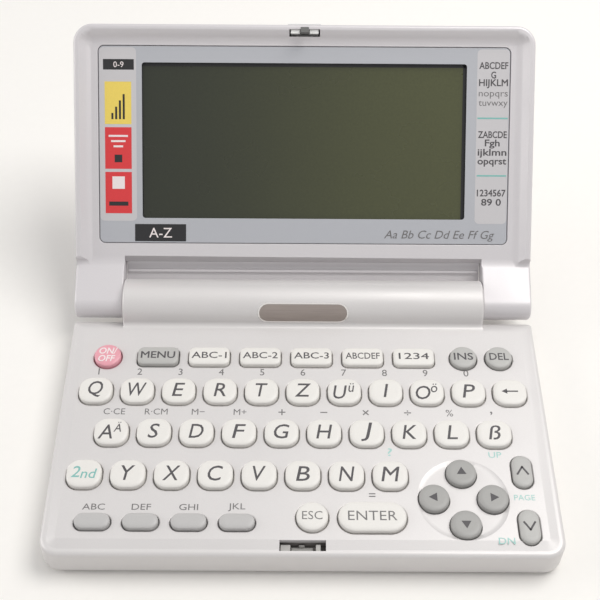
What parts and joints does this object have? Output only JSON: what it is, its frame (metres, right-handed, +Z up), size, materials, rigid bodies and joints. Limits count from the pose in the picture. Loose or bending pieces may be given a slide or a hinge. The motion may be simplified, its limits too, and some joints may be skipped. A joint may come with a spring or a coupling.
{
  "type": "electronic dictionary",
  "caption": "Pocket electronic dictionary: a clamshell with a hinged display lid, a sprung keyboard, a lid latch and a sliding battery door.",
  "frame": {"origin": "on the table, below the middle of the open dictionary", "axes": "+X to the user's right, +Y from the front edge towards the hinge, +Z up"},
  "size_m": [0.133, 0.1414, 0.0697],
  "materials": {
    "case_shell": "silver paint, satin",
    "lid_shell": "silver paint, satin",
    "white_key": "satin",
    "grey_key": "satin",
    "power_key": "satin",
    "display_window": "printed window",
    "display_glass": "liquid crystal glass",
    "latch_plastic": "satin",
    "badge_metal": "brushed",
    "screw_steel": "zinc plated",
    "foot_rubber": "matt",
    "print_ink": "screen print",
    "board": "solder mask",
    "key_rubber": "matt",
    "cell_jacket": "printed sleeve"
  },
  "bodies": {
    "base": {"bottom_case": "case_shell", "keyboard_case": "case_shell", "circuit_board": "board", "key_mat": "key_rubber", "batteries": "cell_jacket"},
    "lid": {"lid_frame": "lid_shell", "lid_cover": "lid_shell", "display_module": "display_window"},
    "latch": {"latch": "latch_plastic"},
    "battery_door": {"battery_door": "case_shell"},
    "key_power": {"key_power": "power_key"},
    "key_menu": {"key_menu": "grey_key"},
    "key_function_1": {"key_function_1": "white_key"},
    "key_function_2": {"key_function_2": "white_key"},
    "key_function_3": {"key_function_3": "white_key"},
    "key_function_4": {"key_function_4": "white_key"},
    "key_function_5": {"key_function_5": "white_key"},
    "key_round_1": {"key_round_1": "grey_key"},
    "key_round_2": {"key_round_2": "grey_key"},
    "key_q": {"key_q": "white_key"},
    "key_w": {"key_w": "white_key"},
    "key_e": {"key_e": "white_key"},
    "key_r": {"key_r": "white_key"},
    "key_t": {"key_t": "white_key"},
    "key_z": {"key_z": "white_key"},
    "key_u": {"key_u": "white_key"},
    "key_i": {"key_i": "white_key"},
    "key_o": {"key_o": "white_key"},
    "key_p": {"key_p": "white_key"},
    "key_delete": {"key_delete": "white_key"},
    "key_a": {"key_a": "white_key"},
    "key_s": {"key_s": "white_key"},
    "key_d": {"key_d": "white_key"},
    "key_f": {"key_f": "white_key"},
    "key_g": {"key_g": "white_key"},
    "key_h": {"key_h": "white_key"},
    "key_j": {"key_j": "white_key"},
    "key_k": {"key_k": "white_key"},
    "key_l": {"key_l": "white_key"},
    "key_sharp_s": {"key_sharp_s": "white_key"},
    "key_second": {"key_second": "white_key"},
    "key_y": {"key_y": "white_key"},
    "key_x": {"key_x": "white_key"},
    "key_c": {"key_c": "white_key"},
    "key_v": {"key_v": "white_key"},
    "key_b": {"key_b": "white_key"},
    "key_n": {"key_n": "white_key"},
    "key_m": {"key_m": "white_key"},
    "key_soft_1": {"key_soft_1": "grey_key"},
    "key_soft_2": {"key_soft_2": "grey_key"},
    "key_soft_3": {"key_soft_3": "grey_key"},
    "key_soft_4": {"key_soft_4": "grey_key"},
    "key_escape": {"key_escape": "white_key"},
    "key_enter": {"key_enter": "white_key"},
    "key_up": {"key_up": "grey_key"},
    "key_down": {"key_down": "grey_key"},
    "key_left": {"key_left": "grey_key"},
    "key_right": {"key_right": "grey_key"},
    "key_page_up": {"key_page_up": "grey_key"},
    "key_page_down": {"key_page_down": "grey_key"}
  },
  "joints": [
    {"name": "lid_hinge", "type": "hinge", "parent": "base", "child": "lid", "pos_m": [0, 0.01005, 0.0107], "axis": [-1, 0, 0], "range_deg": [-134.5, 15.5]},
    {"name": "latch_slide", "type": "slide", "parent": "lid", "child": "latch", "axis": [0, -0.7009, -0.7133], "range_m": [0, 0.0007], "stiffness_N_per_m": 400},
    {"name": "battery_door_slide", "type": "slide", "parent": "base", "child": "battery_door", "axis": [0, 1, 0], "range_m": [0, 0.01]},
    {"name": "press_power", "type": "slide", "parent": "base", "child": "key_power", "axis": [0, 0, -1], "range_m": [0, 0.0007], "stiffness_N_per_m": 300},
    {"name": "press_menu", "type": "slide", "parent": "base", "child": "key_menu", "axis": [0, 0, -1], "range_m": [0, 0.0007], "stiffness_N_per_m": 300},
    {"name": "press_function_1", "type": "slide", "parent": "base", "child": "key_function_1", "axis": [0, 0, -1], "range_m": [0, 0.0007], "stiffness_N_per_m": 300},
    {"name": "press_function_2", "type": "slide", "parent": "base", "child": "key_function_2", "axis": [0, 0, -1], "range_m": [0, 0.0007], "stiffness_N_per_m": 300},
    {"name": "press_function_3", "type": "slide", "parent": "base", "child": "key_function_3", "axis": [0, 0, -1], "range_m": [0, 0.0007], "stiffness_N_per_m": 300},
    {"name": "press_function_4", "type": "slide", "parent": "base", "child": "key_function_4", "axis": [0, 0, -1], "range_m": [0, 0.0007], "stiffness_N_per_m": 300},
    {"name": "press_function_5", "type": "slide", "parent": "base", "child": "key_function_5", "axis": [0, 0, -1], "range_m": [0, 0.0007], "stiffness_N_per_m": 300},
    {"name": "press_round_1", "type": "slide", "parent": "base", "child": "key_round_1", "axis": [0, 0, -1], "range_m": [0, 0.0007], "stiffness_N_per_m": 300},
    {"name": "press_round_2", "type": "slide", "parent": "base", "child": "key_round_2", "axis": [0, 0, -1], "range_m": [0, 0.0007], "stiffness_N_per_m": 300},
    {"name": "press_q", "type": "slide", "parent": "base", "child": "key_q", "axis": [0, 0, -1], "range_m": [0, 0.0007], "stiffness_N_per_m": 300},
    {"name": "press_w", "type": "slide", "parent": "base", "child": "key_w", "axis": [0, 0, -1], "range_m": [0, 0.0007], "stiffness_N_per_m": 300},
    {"name": "press_e", "type": "slide", "parent": "base", "child": "key_e", "axis": [0, 0, -1], "range_m": [0, 0.0007], "stiffness_N_per_m": 300},
    {"name": "press_r", "type": "slide", "parent": "base", "child": "key_r", "axis": [0, 0, -1], "range_m": [0, 0.0007], "stiffness_N_per_m": 300},
    {"name": "press_t", "type": "slide", "parent": "base", "child": "key_t", "axis": [0, 0, -1], "range_m": [0, 0.0007], "stiffness_N_per_m": 300},
    {"name": "press_z", "type": "slide", "parent": "base", "child": "key_z", "axis": [0, 0, -1], "range_m": [0, 0.0007], "stiffness_N_per_m": 300},
    {"name": "press_u", "type": "slide", "parent": "base", "child": "key_u", "axis": [0, 0, -1], "range_m": [0, 0.0007], "stiffness_N_per_m": 300},
    {"name": "press_i", "type": "slide", "parent": "base", "child": "key_i", "axis": [0, 0, -1], "range_m": [0, 0.0007], "stiffness_N_per_m": 300},
    {"name": "press_o", "type": "slide", "parent": "base", "child": "key_o", "axis": [0, 0, -1], "range_m": [0, 0.0007], "stiffness_N_per_m": 300},
    {"name": "press_p", "type": "slide", "parent": "base", "child": "key_p", "axis": [0, 0, -1], "range_m": [0, 0.0007], "stiffness_N_per_m": 300},
    {"name": "press_delete", "type": "slide", "parent": "base", "child": "key_delete", "axis": [0, 0, -1], "range_m": [0, 0.0007], "stiffness_N_per_m": 300},
    {"name": "press_a", "type": "slide", "parent": "base", "child": "key_a", "axis": [0, 0, -1], "range_m": [0, 0.0007], "stiffness_N_per_m": 300},
    {"name": "press_s", "type": "slide", "parent": "base", "child": "key_s", "axis": [0, 0, -1], "range_m": [0, 0.0007], "stiffness_N_per_m": 300},
    {"name": "press_d", "type": "slide", "parent": "base", "child": "key_d", "axis": [0, 0, -1], "range_m": [0, 0.0007], "stiffness_N_per_m": 300},
    {"name": "press_f", "type": "slide", "parent": "base", "child": "key_f", "axis": [0, 0, -1], "range_m": [0, 0.0007], "stiffness_N_per_m": 300},
    {"name": "press_g", "type": "slide", "parent": "base", "child": "key_g", "axis": [0, 0, -1], "range_m": [0, 0.0007], "stiffness_N_per_m": 300},
    {"name": "press_h", "type": "slide", "parent": "base", "child": "key_h", "axis": [0, 0, -1], "range_m": [0, 0.0007], "stiffness_N_per_m": 300},
    {"name": "press_j", "type": "slide", "parent": "base", "child": "key_j", "axis": [0, 0, -1], "range_m": [0, 0.0007], "stiffness_N_per_m": 300},
    {"name": "press_k", "type": "slide", "parent": "base", "child": "key_k", "axis": [0, 0, -1], "range_m": [0, 0.0007], "stiffness_N_per_m": 300},
    {"name": "press_l", "type": "slide", "parent": "base", "child": "key_l", "axis": [0, 0, -1], "range_m": [0, 0.0007], "stiffness_N_per_m": 300},
    {"name": "press_sharp_s", "type": "slide", "parent": "base", "child": "key_sharp_s", "axis": [0, 0, -1], "range_m": [0, 0.0007], "stiffness_N_per_m": 300},
    {"name": "press_second", "type": "slide", "parent": "base", "child": "key_second", "axis": [0, 0, -1], "range_m": [0, 0.0007], "stiffness_N_per_m": 300},
    {"name": "press_y", "type": "slide", "parent": "base", "child": "key_y", "axis": [0, 0, -1], "range_m": [0, 0.0007], "stiffness_N_per_m": 300},
    {"name": "press_x", "type": "slide", "parent": "base", "child": "key_x", "axis": [0, 0, -1], "range_m": [0, 0.0007], "stiffness_N_per_m": 300},
    {"name": "press_c", "type": "slide", "parent": "base", "child": "key_c", "axis": [0, 0, -1], "range_m": [0, 0.0007], "stiffness_N_per_m": 300},
    {"name": "press_v", "type": "slide", "parent": "base", "child": "key_v", "axis": [0, 0, -1], "range_m": [0, 0.0007], "stiffness_N_per_m": 300},
    {"name": "press_b", "type": "slide", "parent": "base", "child": "key_b", "axis": [0, 0, -1], "range_m": [0, 0.0007], "stiffness_N_per_m": 300},
    {"name": "press_n", "type": "slide", "parent": "base", "child": "key_n", "axis": [0, 0, -1], "range_m": [0, 0.0007], "stiffness_N_per_m": 300},
    {"name": "press_m", "type": "slide", "parent": "base", "child": "key_m", "axis": [0, 0, -1], "range_m": [0, 0.0007], "stiffness_N_per_m": 300},
    {"name": "press_soft_1", "type": "slide", "parent": "base", "child": "key_soft_1", "axis": [0, 0, -1], "range_m": [0, 0.0007], "stiffness_N_per_m": 300},
    {"name": "press_soft_2", "type": "slide", "parent": "base", "child": "key_soft_2", "axis": [0, 0, -1], "range_m": [0, 0.0007], "stiffness_N_per_m": 300},
    {"name": "press_soft_3", "type": "slide", "parent": "base", "child": "key_soft_3", "axis": [0, 0, -1], "range_m": [0, 0.0007], "stiffness_N_per_m": 300},
    {"name": "press_soft_4", "type": "slide", "parent": "base", "child": "key_soft_4", "axis": [0, 0, -1], "range_m": [0, 0.0007], "stiffness_N_per_m": 300},
    {"name": "press_escape", "type": "slide", "parent": "base", "child": "key_escape", "axis": [0, 0, -1], "range_m": [0, 0.0007], "stiffness_N_per_m": 300},
    {"name": "press_enter", "type": "slide", "parent": "base", "child": "key_enter", "axis": [0, 0, -1], "range_m": [0, 0.0007], "stiffness_N_per_m": 300},
    {"name": "press_up", "type": "slide", "parent": "base", "child": "key_up", "axis": [0, 0, -1], "range_m": [0, 0.0007], "stiffness_N_per_m": 300},
    {"name": "press_down", "type": "slide", "parent": "base", "child": "key_down", "axis": [0, 0, -1], "range_m": [0, 0.0007], "stiffness_N_per_m": 300},
    {"name": "press_left", "type": "slide", "parent": "base", "child": "key_left", "axis": [0, 0, -1], "range_m": [0, 0.0007], "stiffness_N_per_m": 300},
    {"name": "press_right", "type": "slide", "parent": "base", "child": "key_right", "axis": [0, 0, -1], "range_m": [0, 0.0007], "stiffness_N_per_m": 300},
    {"name": "press_page_up", "type": "slide", "parent": "base", "child": "key_page_up", "axis": [0, 0, -1], "range_m": [0, 0.0007], "stiffness_N_per_m": 300},
    {"name": "press_page_down", "type": "slide", "parent": "base", "child": "key_page_down", "axis": [0, 0, -1], "range_m": [0, 0.0007], "stiffness_N_per_m": 300}
  ]
}
